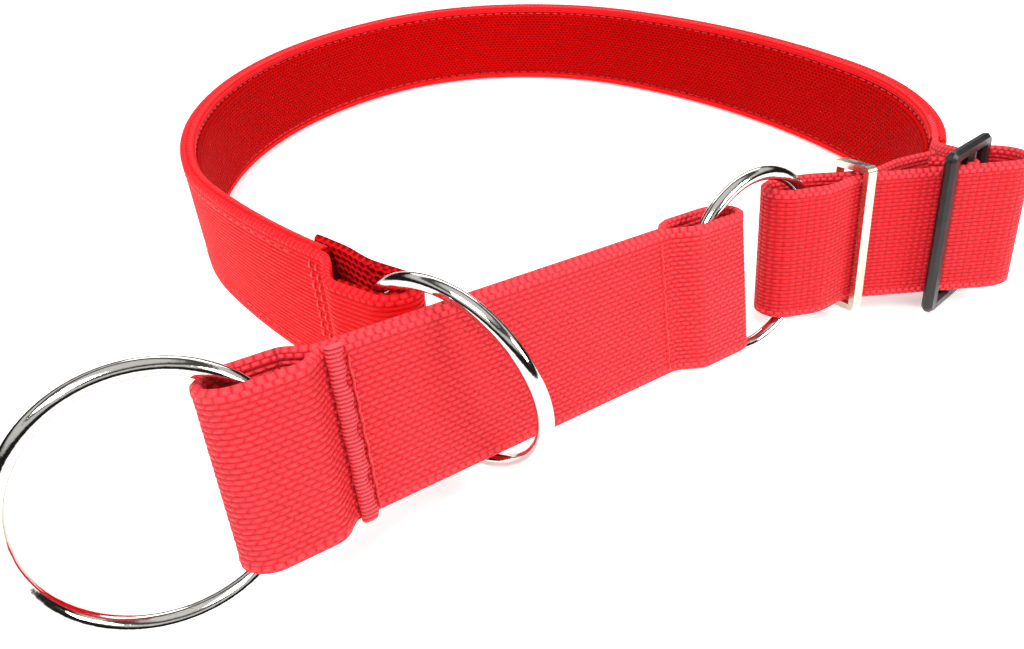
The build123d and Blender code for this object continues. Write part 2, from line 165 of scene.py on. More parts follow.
def arc_points(start, heading, radius, turn, step=1.0):
    """Points along a tangent arc after its start, and the point and heading at its end."""
    side = 1 if turn > 0 else -1
    centre = start + left_of(heading) * radius * side
    count = max(2, ceil(radius * radians(abs(turn)) / step))
    turns = [turn * (index + 1) / count for index in range(count)]
    points = [centre - left_of(heading + part) * radius * side for part in turns]
    return points, points[-1], heading + turn


def run_points(arcs, start_heading, inset):
    """Points along one arm of the band, moved inwards by inset, from the bend to its end."""
    heading = start_heading
    side = 1 if arcs[0][1] > 0 else -1
    point = np.array(BEND_POINT) + left_of(heading) * side * inset
    points = [point]
    for radius, turn in arcs:
        more, point, heading = arc_points(point, heading, radius - inset, turn)
        points += more
    return points, heading


def hermite(start, start_way, end, end_way, step=0.8):
    """Points of a smooth curve after its start, to its end."""
    start, end = np.array(start, float), np.array(end, float)
    reach = np.linalg.norm(end - start)
    first, last = unit(np.array(start_way, float)) * reach, unit(np.array(end_way, float)) * reach
    count = max(3, ceil(reach / step))
    points = []
    for index in range(1, count + 1):
        t = index / count
        points.append((2 * t**3 - 3 * t**2 + 1) * start + (t**3 - 2 * t**2 + t) * first
                      + (3 * t**2 - 2 * t**3) * end + (t**3 - t**2) * last)
    return points


def line_points(start, end, step=0.8):
    """Points of a straight line after its start, to its end."""
    start, end = np.array(start, float), np.array(end, float)
    count = max(1, ceil(np.linalg.norm(end - start) / step))
    return [start + (end - start) * (index + 1) / count for index in range(count)]


def pocket_points(fold, heading, half, straight, step=0.5):
    """Centre line of a webbing loop, from its first ply's deep end round the fold to the second's."""
    along = heading_vector(heading)
    radius = half + WEB_THICK / 2
    aside = left_of(heading) * radius
    fold = np.array(fold, float)
    centre = fold + along * (half + WEB_THICK)
    deep = fold + along * straight
    points = [deep - aside] + line_points(deep - aside, centre - aside, step)
    points += arc_points(centre - aside, heading + 180, radius, -180.0, step)[0]
    points += line_points(centre + aside, deep + aside, step)
    return points


def even(points, step):
    """The same line with points about step apart."""
    points = np.array(points)
    lengths = np.linalg.norm(np.diff(points, axis=0), axis=1)
    keep = np.concatenate(([True], lengths > 1e-6))
    points = points[keep]
    along = np.concatenate(([0.0], np.cumsum(np.linalg.norm(np.diff(points, axis=0), axis=1))))
    count = max(2, int(round(along[-1] / step)) + 1)
    places = np.linspace(0, along[-1], count)
    return np.stack([np.interp(places, along, points[:, axis]) for axis in range(points.shape[1])], axis=1)


def smoothed(points, passes):
    """The same line with its small kinks softened and both ends kept."""
    points = points.copy()
    for _ in range(passes):
        points[1:-1] = (points[:-2] + 2 * points[1:-1] + points[2:]) / 4
    return points


def nearest(points, spot):
    """Index of the point nearest a spot."""
    return int(np.argmin(np.linalg.norm(points - np.array(spot), axis=1)))


def tangents(points, closed=False):
    """Unit direction of a line at each of its points."""
    if closed:
        ways = np.roll(points, -1, axis=0) - np.roll(points, 1, axis=0)
    else:
        ways = np.gradient(points, axis=0)
    return ways / np.linalg.norm(ways, axis=1)[:, None]


# ---------------------------------------------------------------- meshes
def make_mesh(name, vertices, faces, body=None, uvs=None):
    """A piece from points in millimetres; uvs is one (u, v) per vertex."""
    mesh = bpy.data.meshes.new(name)
    mesh.from_pydata((np.asarray(vertices, float) * MM).tolist(), [], faces)
    if uvs is not None:
        layer = mesh.uv_layers.new(name="UVMap")
        corners = np.zeros(len(mesh.loops), dtype=np.int32)
        mesh.loops.foreach_get("vertex_index", corners)
        layer.data.foreach_set("uv", (np.asarray(uvs, float)[corners] * MM).ravel())
    mesh.update()
    mesh.polygons.foreach_set("use_smooth", [True] * len(mesh.polygons))
    piece = bpy.data.objects.new(name, mesh)
    bpy.context.scene.collection.objects.link(piece)
    if body:
        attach(piece, body)
    return piece


def sweep(centres, across, outward, profile, relief=None, closed=False):
    """Vertices, faces and uvs of a profile carried along a line.

    profile is a closed list of (along across, along outward). relief adds to a vertex's outward
    offset on the profile's two faces: relief(length along the line, place across, side).
    """
    centres = np.asarray(centres)
    count, ring = len(centres), len(profile)
    steps = np.linalg.norm(np.diff(centres, axis=0), axis=1)
    along = np.concatenate(([0.0], np.cumsum(steps)))
    wide = np.array([place for place, _ in profile])
    deep = np.array([depth for _, depth in profile])
    offsets = np.tile(deep, (count, 1))
    if relief is not None:
        offsets = offsets + relief(along[:, None], wide[None, :], np.sign(deep)[None, :])
    vertices = (centres[:, None, :] + wide[None, :, None] * across[:, None, :]
                + offsets[:, :, None] * outward[:, None, :])
    uvs = np.stack(np.broadcast_arrays(along[:, None], wide[None, :]), axis=2)
    faces = []
    for row in range(count if closed else count - 1):
        after = (row + 1) % count
        for place in range(ring):
            beside = (place + 1) % ring
            faces.append((row * ring + place, row * ring + beside,
                          after * ring + beside, after * ring + place))
    if not closed:
        faces.append(tuple(range(ring - 1, -1, -1)))
        faces.append(tuple((count - 1) * ring + place for place in range(ring)))
    return vertices.reshape(-1, 3), faces, uvs.reshape(-1, 2)


def outward_faces(piece):
    """Turns every face of a piece outwards."""
    work = bmesh.new()
    work.from_mesh(piece.data)
    bmesh.ops.recalc_face_normals(work, faces=work.faces)
    work.to_mesh(piece.data)
    work.free()
    return piece


SELVAGE_PLACE, SELVAGE_WIDTH = 1.1, 0.7


def webbing_profile(width, thick, spacing=1.0, selvage=0.1, low=0.0):
    """Closed section of a woven tape: flat faces, a fuller selvage and rounded edges."""
    half = thick / 2
    count = int(round((width - 2 * half) / spacing))
    places = np.linspace(low + half * 0.8, low + width - half * 0.8, count + 1)
    edge = np.minimum(places - low, low + width - places)
    full = half + selvage * np.exp(-((edge - SELVAGE_PLACE) / SELVAGE_WIDTH) ** 2)
    front = [(place, depth) for place, depth in zip(places, full)]
    back = [(place, -depth) for place, depth in zip(places[::-1], full[::-1])]
    return front + [(low + width, 0.0)] + back + [(low, 0.0)]


CAPSULE_RINGS = ((-1.0, 0.15), (-0.8, 0.75), (-0.3, 1.0), (0.3, 1.0), (0.8, 0.75), (1.0, 0.15))
CAPSULE_SIDES = 6
CAPSULE_SINK = 0.12


def stitches(name, places, ways, ups, length, radius, body=None):
    """One piece of short thread capsules, each at a place, along a way, standing towards up."""
    rings, sides = CAPSULE_RINGS, CAPSULE_SIDES
    vertices, faces = [], []
    for place, way, up in zip(places, ways, ups):
        side = np.cross(way, up)
        base = len(vertices)
        for reach, size in rings:
            sink = -CAPSULE_SINK * reach * reach
            for index in range(sides):
                turn = 2 * pi * index / sides
                vertices.append(place + way * reach * length / 2 + up * sink
                                + (side * cos(turn) + up * sin(turn)) * radius * size)
        for row in range(len(rings) - 1):
            for index in range(sides):
                beside = (index + 1) % sides
                low, high = base + row * sides, base + (row + 1) * sides
                faces.append((low + index, low + beside, high + beside, high + index))
        faces.append(tuple(base + index for index in range(sides - 1, -1, -1)))
        last = base + (len(rings) - 1) * sides
        faces.append(tuple(last + index for index in range(sides)))
    return dress(outward_faces(make_mesh(name, vertices, faces, body)), RED_THREAD)


def dress(piece, *materials):
    """Gives a piece its materials, in place of any it has."""
    piece.data.materials.clear()
    for material in materials:
        piece.data.materials.append(material)
    return piece


# ---------------------------------------------------------------- material nodes
class Nodes:
    """Short-hand for one material's node tree."""

    def __init__(self, name):
        self.material = bpy.data.materials.new(name)
        self.material.use_nodes = True
        self.tree = self.material.node_tree
        self.shader = self.tree.nodes["Principled BSDF"]

    def node(self, kind, **values):
        made = self.tree.nodes.new(kind)
        for key, value in values.items():
            setattr(made, key, value)
        return made

    def put(self, socket, value):
        if hasattr(value, "links"):
            self.tree.links.new(value, socket)
        else:
            socket.default_value = value

    def math(self, operation, first, second=0.0):
        made = self.node("ShaderNodeMath", operation=operation)
        self.put(made.inputs[0], first)
        self.put(made.inputs[1], second)
        return made.outputs[0]

    def uv(self):
        """Place along and across the webbing, in millimetres."""
        coordinates = self.node("ShaderNodeTexCoord")
        split = self.node("ShaderNodeSeparateXYZ")
        self.tree.links.new(coordinates.outputs["UV"], split.inputs[0])
        return tuple(self.math("MULTIPLY", split.outputs[axis], 1 / MM) for axis in (0, 1))

    def set(self, **values):
        """Constants of the shader, each by its socket's name with underscores for spaces."""
        for key, value in values.items():
            self.shader.inputs[key.replace("_", " ")].default_value = value

    def noise(self, scale, detail=2.0):
        coordinates = self.node("ShaderNodeTexCoord")
        made = self.node("ShaderNodeTexNoise")
        made.inputs["Scale"].default_value = scale
        made.inputs["Detail"].default_value = detail
        self.tree.links.new(coordinates.outputs["Object"], made.inputs["Vector"])
        return made.outputs["Fac"]

    def mix(self, factor, first, second):
        made = self.node("ShaderNodeMix", data_type="RGBA")
        self.put(made.inputs["Factor"], factor)
        self.put(made.inputs["A"], first)
        self.put(made.inputs["B"], second)
        return made.outputs["Result"]

    def ramp(self, value, low, high, to_low=0.0, to_high=1.0):
        made = self.node("ShaderNodeMapRange")
        for socket, setting in zip(made.inputs, (value, low, high, to_low, to_high)):
            self.put(socket, setting)
        return made.outputs[0]

    def bump(self, height, distance, strength=1.0):
        made = self.node("ShaderNodeBump")
        made.inputs["Distance"].default_value = distance
        made.inputs["Strength"].default_value = strength
        self.tree.links.new(height, made.inputs["Height"])
        self.tree.links.new(made.outputs["Normal"], self.shader.inputs["Normal"])

    def hump(self, value):
        """A rounded hump once per whole step of value."""
        part = self.math("FRACT", value)
        return self.math("SINE", self.math("MULTIPLY", part, pi))


KNOT_LENGTH, KNOT_ROW = 1.25, 0.75


def weave(name, dark, bright, row_pitch, dash_length, slant=0.0, edge_rows=1.5, edge_bright=None,
          depth=0.0004, contrast=1.0, rib=0.0, sheen=0.12, specular=0.3):
    """Woven nylon: rows of staggered dashes along the tape, and a knotted selvage at both edges."""
    nodes = Nodes(name)
    math = nodes.math
    along, across = nodes.uv()

    row = math("DIVIDE", across, row_pitch)
    parity = math("MODULO", math("FLOOR", row), 2.0)
    from_middle = math("SUBTRACT", math("FRACT", row), 0.5)
    tilt = math("MULTIPLY", from_middle, math("MULTIPLY", math("SUBTRACT", parity, 0.5), slant))
    staggered = math("ADD", math("DIVIDE", along, dash_length), math("MULTIPLY", parity, 0.5))
    dash = math("POWER", math("ABSOLUTE", nodes.hump(math("ADD", staggered, tilt))), 0.6)
    height = math("MULTIPLY", nodes.hump(row), math("ADD", math("MULTIPLY", dash, contrast), 1.0 - contrast))
    if rib:
        column = nodes.hump(math("DIVIDE", along, rib))
        height = math("MULTIPLY", height, math("ADD", math("MULTIPLY", column, 0.6), 0.4))

    edge = math("MINIMUM", across, math("SUBTRACT", WEB_WIDTH, across))
    on_edge = math("LESS_THAN", edge, edge_rows)
    knot_row = math("DIVIDE", edge, KNOT_ROW)
    knot_stagger = math("MULTIPLY", math("FLOOR", knot_row), 0.5)
    knot_along = math("ADD", math("DIVIDE", along, KNOT_LENGTH), knot_stagger)
    knot_across = math("ADD", math("MULTIPLY", nodes.hump(knot_row), 0.5), 0.5)
    knot = math("MULTIPLY", math("POWER", math("ABSOLUTE", nodes.hump(knot_along)), 0.8), knot_across)

    edge_mix = nodes.node("ShaderNodeMix", data_type="FLOAT")
    nodes.put(edge_mix.inputs["Factor"], on_edge)
    nodes.put(edge_mix.inputs["A"], height)
    nodes.put(edge_mix.inputs["B"], knot)
    full = edge_mix.outputs["Result"]

    wear = nodes.ramp(nodes.noise(60.0, 3.0), 0.3, 0.75, 0.82, 1.08)
    colour = nodes.mix(math("MULTIPLY", full, wear), (*dark, 1), (*bright, 1))
    if edge_bright:
        pick = math("MULTIPLY", on_edge, math("MULTIPLY", knot, 0.6))
        colour = nodes.mix(pick, colour, (*edge_bright, 1))
    nodes.put(nodes.shader.inputs["Base Color"], colour)
    nodes.put(nodes.shader.inputs["Roughness"], nodes.ramp(full, 0.0, 1.0, 0.82, 0.54))
    nodes.set(Sheen_Weight=sheen, Sheen_Roughness=0.35, Sheen_Tint=(1.0, 0.35, 0.38, 1),
              Specular_IOR_Level=specular)
    nodes.bump(math("ADD", full, math("MULTIPLY", nodes.noise(2600.0, 2.0), 0.25)), depth)
    return nodes.material


def dotted(name, dark, bright, pitch_along, pitch_across, hole=0.28, depth=0.0004):
    """Air mesh: staggered open dots on a knitted face."""
    nodes = Nodes(name)
    math = nodes.math
    along, across = nodes.uv()
    row = math("DIVIDE", across, pitch_across)
    stagger = math("MULTIPLY", math("MODULO", math("FLOOR", row), 2.0), 0.5)
    place = math("ADD", math("DIVIDE", along, pitch_along), stagger)
    left = math("SUBTRACT", math("FRACT", place), 0.5)
    up = math("SUBTRACT", math("FRACT", row), 0.5)
    reach = math("SQRT", math("ADD", math("MULTIPLY", left, left), math("MULTIPLY", up, up)))
    solid = nodes.ramp(reach, hole * 0.55, hole * 1.5)
    cloud = nodes.ramp(nodes.noise(90.0, 3.0), 0.3, 0.7, 0.85, 1.05)
    nodes.put(nodes.shader.inputs["Base Color"],
              nodes.mix(math("MULTIPLY", solid, cloud), (*dark, 1), (*bright, 1)))
    nodes.set(Roughness=0.85, Sheen_Weight=0.02, Sheen_Tint=(1.0, 0.1, 0.1, 1), Specular_IOR_Level=0.05)
    nodes.bump(math("ADD", solid, math("MULTIPLY", nodes.noise(2600.0, 2.0), 0.3)), depth)
    return nodes.material


def thread(name, colour):
    """Twisted sewing thread."""
    nodes = Nodes(name)
    twist = nodes.noise(1800.0, 2.0)
    dark = tuple(part * 0.55 for part in colour)
    nodes.put(nodes.shader.inputs["Base Color"], nodes.mix(twist, (*dark, 1), (*colour, 1)))
    nodes.set(Roughness=0.5, Sheen_Weight=0.2)
    nodes.bump(twist, 0.0002)
    return nodes.material


def metal(name, colour, roughness, metallic, speck, scratch_depth=0.00004):
    """Plated or painted metal with faint cloudiness, scratches and worn roughness."""
    nodes = Nodes(name)
    cloud = nodes.ramp(nodes.noise(140.0, 4.0), 0.35, 0.7)
    dull = tuple(part * speck for part in colour)
    wear = nodes.ramp(nodes.noise(420.0, 3.0), 0.3, 0.75, roughness * 0.75, roughness * 1.35)
    nodes.put(nodes.shader.inputs["Base Color"], nodes.mix(cloud, (*dull, 1), (*colour, 1)))
    nodes.put(nodes.shader.inputs["Roughness"], wear)
    nodes.set(Metallic=metallic)
    nodes.bump(nodes.noise(900.0, 3.0), scratch_depth, 0.6)
    return nodes.material


STRAP_ROW, STRAP_DASH = 0.74, 1.45

BAND_FACE = weave("band_face", (0.50, 0.0, 0.001), (0.90, 0.0, 0.003), 0.82, 2.6, contrast=0.3,
                  edge_bright=(0.95, 0.03, 0.04), depth=0.0002, sheen=0.03, specular=0.12)
STRAP_FACE = weave("strap_face", (0.50, 0.0, 0.005), (0.94, 0.03, 0.042), STRAP_ROW, STRAP_DASH, slant=0.5,
                   contrast=0.9, edge_bright=(0.95, 0.04, 0.055), depth=0.00032, sheen=0.1, specular=0.34)
ADJUSTER_FACE = weave("adjuster_face", (0.40, 0.0, 0.004), (0.93, 0.012, 0.022), 0.72, 1.5, rib=1.25,
                      contrast=0.6, edge_bright=(0.95, 0.05, 0.07), depth=0.0003, sheen=0.12, specular=0.3)
LINING_FACE = dotted("lining_face", (0.27, 0.0, 0.0), (0.49, 0.0, 0.0), 1.35, 0.8)
LOOP_FACE = dotted("loop_face", (0.20, 0.0, 0.0), (0.80, 0.006, 0.012), 1.7, 1.2, hole=0.34, depth=0.0006)
BINDING = weave("binding_face", (0.58, 0.0, 0.002), (0.92, 0.004, 0.008), 0.7, 1.6, contrast=0.5,
                edge_rows=0.0, depth=0.0002, sheen=0.05, specular=0.16)
# The cut lip's brighter, pinker coral is a painted highlight standing in for the light on its raised lip;
# its fine weave is its own.
CUT_END_HIGHLIGHT_FACE = weave("cut_end_highlight_face", (0.60, 0.0, 0.008), (0.97, 0.07, 0.09), 0.55, 3.0, contrast=0.1,
                     edge_rows=0.0, depth=0.0004, sheen=0.16, specular=0.3)
RED_THREAD = thread("red_thread", (0.78, 0.002, 0.01))
NICKEL = metal("nickel_plate", (0.68, 0.66, 0.62), 0.07, 1.0, 0.93)
KEEPER_NICKEL = metal("keeper_nickel", (0.70, 0.65, 0.55), 0.24, 1.0, 0.85)
BLACK = metal("black_coat", (0.006, 0.006, 0.007), 0.4, 0.0, 0.7, 0.00006)


# ---------------------------------------------------------------- padded band
def rise(y):
    """Height of the left arm's lower edge."""
    past = np.maximum(RISE_START_Y - np.asarray(y, float), 0.0)
    bend = RISE_RADIUS * sin(radians(RISE_ANGLE))
    curved = RISE_RADIUS - np.sqrt(np.maximum(RISE_RADIUS**2 - np.minimum(past, bend) ** 2, 0.0))
    return curved + np.maximum(past - bend, 0.0) * tan(radians(RISE_ANGLE))


def band_line(inset):
    """Plan of the right arm, from its end to the bend, of the left arm, from there to its seam, and the
    heading at both ends."""
    right, right_heading = run_points(RIGHT_ARCS, BEND_HEADING - 180, inset)
    left, left_heading = run_points(LEFT_ARCS, BEND_HEADING, inset)
    return right[::-1], left[1:], left_heading, right_heading


def lifted(plan):
    """Points with the left arm's rise; all before the bend stay on the ground."""
    heights = rise(plan[:, 1])
    heights[:nearest(plan, BEND_POINT)] = 0.0
    return np.column_stack([plan, heights])


def flat_frames(points):
    """Upright width axis and inward normal for a line that runs anticlockwise round the neck."""
    ways = tangents(points[:, :2])
    inward = np.column_stack([-ways[:, 1], ways[:, 0], np.zeros(len(ways))])
    upright = np.tile(UP, (len(points), 1))
    return upright, inward


right_plan, left_plan, seam_heading, right_end_heading = band_line(WEB_THICK / 2)
loop_back = BAND_LOOP_HEADING + 180
loop_fold = np.array(SLIDE_RING_CENTRE[:2]) - heading_vector(BAND_LOOP_HEADING) * BAND_LOOP_REACH
loop = pocket_points(loop_fold, loop_back, BAND_LOOP_HALF, BAND_LOOP_STRAIGHT)[::-1]
left_seam = run_points(LEFT_ARCS, BEND_HEADING, 0.0)[0][-1]
seam_way = heading_vector(seam_heading)
tab_start = left_seam + left_of(seam_heading) * TAB_INSET
outer_plan = right_plan + left_plan
outer_plan += hermite(left_plan[-1], seam_way, loop[0], heading_vector(BAND_LOOP_HEADING))
outer_plan += loop[1:]
outer_plan += hermite(loop[-1], heading_vector(loop_back), tab_start, -seam_way)
outer_plan += line_points(tab_start, tab_start - seam_way * LOOP_TAB)
outer_plan = smoothed(even(outer_plan, BAND_STEP), 1)
outer_centres = lifted(outer_plan)
upright, inward = flat_frames(outer_centres)
vertices, faces, uvs = sweep(outer_centres, upright, inward, webbing_profile(WEB_WIDTH, WEB_THICK))
band_webbing = outward_faces(make_mesh("band_webbing", vertices, faces, uvs=uvs))
dress(band_webbing, BAND_FACE, LOOP_FACE)

# The neck-side ply of the ring loop shows its air mesh.
MESH_AFTER_FOLD = 8
ring_size = len(vertices) // len(outer_centres)
fold_row = nearest(outer_plan, loop_fold)
for face in band_webbing.data.polygons:
    row = min(face.vertices) // ring_size
    if fold_row + MESH_AFTER_FOLD < row < len(outer_centres):
        face.material_index = 1

# The padded inner layer: bound edges, a sewn channel beside each, and a crowned middle.
PAD_START = 1.25
PAD_EDGE = 0.35
PAD_TOP = WEB_WIDTH - PAD_EDGE
CHANNEL_PLACE = STITCH_MARGIN + 0.15
BINDING_DEPTH, CROWN_DEPTH = 3.05, 3.25
CROWN_RISE, CROWN_SPAN = 0.85, 3.0
GROOVE_DEPTH, GROOVE_WIDTH = 0.75, 0.42


def pad_depth(place):
    """How far the padded layer stands in from the band's outer face, by height on the band."""
    edge = min(place - PAD_EDGE, PAD_TOP - place)
    channel = CHANNEL_PLACE - PAD_EDGE
    binding = BINDING_DEPTH - max(0.0, 1 - edge / 0.7) ** 2
    crown = CROWN_DEPTH + CROWN_RISE * min(1.0, max(0.0, edge - channel) / CROWN_SPAN) ** 0.5
    groove = GROOVE_DEPTH * np.exp(-((edge - channel) / GROOVE_WIDTH) ** 2)
    return (binding if edge < channel else crown) - groove


EDGE_BAND, MIDDLE_FROM = 4.0, 4.8
pad_places = np.concatenate([np.linspace(PAD_EDGE, EDGE_BAND, 16),
                             np.linspace(MIDDLE_FROM, WEB_WIDTH - MIDDLE_FROM, 14),
                             np.linspace(WEB_WIDTH - EDGE_BAND, PAD_TOP, 16)])
pad_front = [(place, pad_depth(place)) for place in pad_places]
pad_back = [(place, PAD_START) for place in np.linspace(PAD_TOP, PAD_EDGE, 10)]
pad_right, pad_left, _, _ = band_line(0.0)
pad_plan = even(pad_right + pad_left, BAND_STEP)[2:-1]
pad_centres = lifted(pad_plan)
upright, inward = flat_frames(pad_centres)
vertices, faces, uvs = sweep(pad_centres, upright, inward, pad_front + pad_back)
band_padding = outward_faces(make_mesh("band_padding", vertices, faces, uvs=uvs))
dress(band_padding, LINING_FACE, BINDING)
BINDING_WIDTH = STITCH_MARGIN - 0.2
band_uv = band_padding.data.uv_layers["UVMap"].data
for face in band_padding.data.polygons:
    place = sum(band_uv[corner].uv[1] for corner in face.loop_indices) / len(face.loop_indices) / MM
    if min(place, WEB_WIDTH - place) < BINDING_WIDTH:
        face.material_index = 1

# Two rows of thread sit in the channels, and show on the outer face as small dimpled stitches.
CHANNEL_INSET = pad_depth(CHANNEL_PLACE) + 0.16
stitch_centres = lifted(even(pad_plan, BAND_STITCH_STEP))[1:-3]
_, inward = flat_frames(stitch_centres)
ways = np.tile(tangents(stitch_centres), (2, 1))


def stitch_rows(inset):
    """Places of both rows of stitches, moved inwards by inset."""
    return [centre + inward_way * inset + np.array((0, 0, height))
            for height in (CHANNEL_PLACE, WEB_WIDTH - CHANNEL_PLACE)
            for centre, inward_way in zip(stitch_centres, inward)]


both_inward = np.tile(inward, (2, 1))
edge_stitches = stitches("band_edge_stitches", stitch_rows(CHANNEL_INSET), ways, both_inward, 2.3, 0.22)
face_stitches = stitches("band_face_stitches", stitch_rows(-0.03), ways, -both_inward, 2.1, 0.12)

for piece in (band_webbing, band_padding, edge_stitches, face_stitches):
    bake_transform(piece)
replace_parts(band_webbing, "left_outer_webbing", "right_outer_webbing")
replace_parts(band_padding, "left_foam_core", "right_foam_core", "left_mesh_lining", "right_mesh_lining")
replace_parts(edge_stitches, "left_edge_stitching", "right_edge_stitching")

# Air mesh inside the loop round the slide ring.
LOOP_LINING_INSET, LOOP_LINING_SHORTER = 0.3, 1.0
LOOP_LINING_WIDTH, LOOP_LINING_THICK = WEB_WIDTH - 0.6, 0.5
lining_fold = loop_fold + heading_vector(loop_back) * (WEB_THICK - LOOP_LINING_INSET)
lining_half = BAND_LOOP_HALF - LOOP_LINING_INSET - WEB_THICK / 2
lining_plan = even(pocket_points(lining_fold, loop_back, lining_half,
                                 BAND_LOOP_STRAIGHT - LOOP_LINING_SHORTER)[::-1], LOOP_LINING_STEP)
lining_centres = np.column_stack([lining_plan, rise(lining_plan[:, 1])])
upright, inward = flat_frames(lining_centres)
lining_profile = webbing_profile(LOOP_LINING_WIDTH, LOOP_LINING_THICK, TAPE_SPACING, 0.05, low=0.5)
vertices, faces, uvs = sweep(lining_centres, upright, inward, lining_profile)
loop_lining = outward_faces(make_mesh("loop_air_mesh", vertices, faces, "left_arm", uvs))
dress(loop_lining, LOOP_FACE)
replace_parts(loop_lining, "ring_loop_lining")

# Seam across the band, where the loop is closed.
LOOP_SEAM_SETBACKS = (0.9, 2.6)
SEAM_LEAN = 0.25
seam_places, seam_ways, seam_ups = [], [], []
seam_base = rise(left_seam[1])
for setback in LOOP_SEAM_SETBACKS:
    for inset, up in ((-0.12, -1.0), (TAB_INSET + 0.72, 1.0)):
        spot = left_seam - seam_way * setback + left_of(seam_heading) * inset
        for height in np.arange(STITCH_MARGIN, WEB_WIDTH - STITCH_MARGIN + 0.1, 1.9):
            seam_places.append(np.array((*spot, seam_base + height)))
            seam_ways.append(unit(np.array((*(seam_way * SEAM_LEAN), 1.0))))
            seam_ups.append(np.array((*(left_of(seam_heading) * up), 0.0)))
loop_seam = stitches("loop_seam_stitches", seam_places, seam_ways, seam_ups, 1.7, 0.24, "left_arm")
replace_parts(loop_seam, "ring_loop_seam_stitching")

# ---------------------------------------------------------------- rings
strap_along = direction(STRAP_AZIMUTH, STRAP_SLOPE)
strap_level = np.array((*left_of(STRAP_AZIMUTH), 0.0))
strap_width = (np.cross(strap_along, strap_level) * cos(radians(STRAP_LEAN))
               + strap_level * sin(radians(STRAP_LEAN)))
strap_back = np.cross(strap_width, strap_along)


# A weld bead stands this share of the wire proud, and fades over so many degrees.
WELD_RISE, WELD_SPREAD = 0.035, 2.5


def wire_ring(name, centre, normal, body, weld_angle):
    """A welded wire ring: round wire, with a faint weld bead on one side."""
    normal = unit(np.asarray(normal, float))
    first = unit(np.cross(normal, UP))
    second = np.cross(normal, first)
    around, sides = 180, 28
    centre = np.array(centre)
    vertices, faces = [], []
    for index in range(around):
        angle = 2 * pi * index / around
        away = abs((degrees(angle) - weld_angle + 180) % 360 - 180)
        wire = WIRE_RADIUS * (1 + WELD_RISE * np.exp(-(away / WELD_SPREAD) ** 2))
        out = first * cos(angle) + second * sin(angle)
        for side in range(sides):
            turn = 2 * pi * side / sides
            vertices.append(centre + out * (RING_RADIUS + wire * cos(turn)) + normal * wire * sin(turn))
    for index in range(around):
        after = (index + 1) % around
        for side in range(sides):
            beside = (side + 1) % sides
            faces.append((index * sides + side, after * sides + side, after * sides + beside,
                          index * sides + beside))
    ring = outward_faces(make_mesh(name, vertices, faces, body))
    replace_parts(ring, body)
    return dress(ring, NICKEL)


wire_ring("slide_ring_wire", SLIDE_RING_CENTRE, direction(*SLIDE_RING_WAY), "slide_ring", 200.0)
wire_ring("end_ring_wire", END_RING_CENTRE, direction(*END_RING_WAY), "end_ring", 15.0)
leash_pivot = STRAP_CORNER + strap_along * LEASH_SWING_AXIS + strap_width * WEB_WIDTH / 2
leash_out = -strap_along * cos(radians(LEASH_RING_SWING)) + strap_back * sin(radians(LEASH_RING_SWING))
leash_centre = leash_pivot + leash_out * (LEASH_SWING_AXIS + LEASH_RING_REACH)
wire_ring("leash_ring_wire", leash_centre, np.cross(strap_width, leash_out), "leash_ring", 0.0)

# ---------------------------------------------------------------- pull strap
def in_strap(points):
    """Points of the strap's own plan, at its lower edge, in the shared frame."""
    points = np.asarray(points)
    return STRAP_CORNER + points[:, :1] * strap_along + points[:, 1:] * strap_back


left_pocket = pocket_points((0.0, 0.0), 0.0, POCKET_HALF, LEFT_POCKET[0])
right_pocket = pocket_points((STRAP_LENGTH, 0.0), 180.0, POCKET_HALF, RIGHT_POCKET[0])
left_seam_x, right_seam_x = LEFT_POCKET[1], STRAP_LENGTH - RIGHT_POCKET[1]
forward, backward = (1.0, 0.0), (-1.0, 0.0)
strap_plan = left_pocket[::-1]
strap_plan += hermite(strap_plan[-1], forward, (left_seam_x, -PLY_OFFSET), forward)
strap_plan += line_points((left_seam_x, -PLY_OFFSET), (right_seam_x, -PLY_OFFSET))
strap_plan += hermite((right_seam_x, -PLY_OFFSET), forward, right_pocket[-1], forward)
strap_plan += right_pocket[::-1][1:]
strap_plan += hermite(right_pocket[0], backward, (right_seam_x, PLY_OFFSET), backward)
strap_plan += line_points((right_seam_x, PLY_OFFSET), (left_seam_x, PLY_OFFSET))
strap_plan += hermite((left_seam_x, PLY_OFFSET), backward, left_pocket[-1], backward)
strap_plan = even(strap_plan, STRAP_STEP)[:-1]
ways = tangents(strap_plan, closed=True)
strap_outward = ways[:, 1:] * strap_along - ways[:, :1] * strap_back
strap_centres = in_strap(strap_plan)
STRAP_SLANT = 0.7
STRAP_RELIEF, RELIEF_MIDDLE = 0.085, 0.6


def strap_relief(along, across, side):
    """Raised staggered dashes of the coarse weave."""
    row = across / STRAP_ROW
    parity = np.mod(np.floor(row), 2)
    dash = along / STRAP_DASH + parity * 0.5 + (np.mod(row, 1) - 0.5) * (parity - 0.5) * STRAP_SLANT
    height = np.sin(np.mod(row, 1) * pi) * np.abs(np.sin(np.mod(dash, 1) * pi)) ** 0.6
    return side * STRAP_RELIEF * (height - RELIEF_MIDDLE)


strap_across = np.tile(strap_width, (len(strap_centres), 1))
strap_profile = webbing_profile(WEB_WIDTH, WEB_THICK, spacing=0.18)
vertices, faces, uvs = sweep(strap_centres, strap_across, strap_outward, strap_profile,
                             strap_relief, closed=True)
strap = outward_faces(make_mesh("pull_strap_webbing", vertices, faces, "pull_strap", uvs))
dress(strap, STRAP_FACE)
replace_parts(strap, "pull_strap")
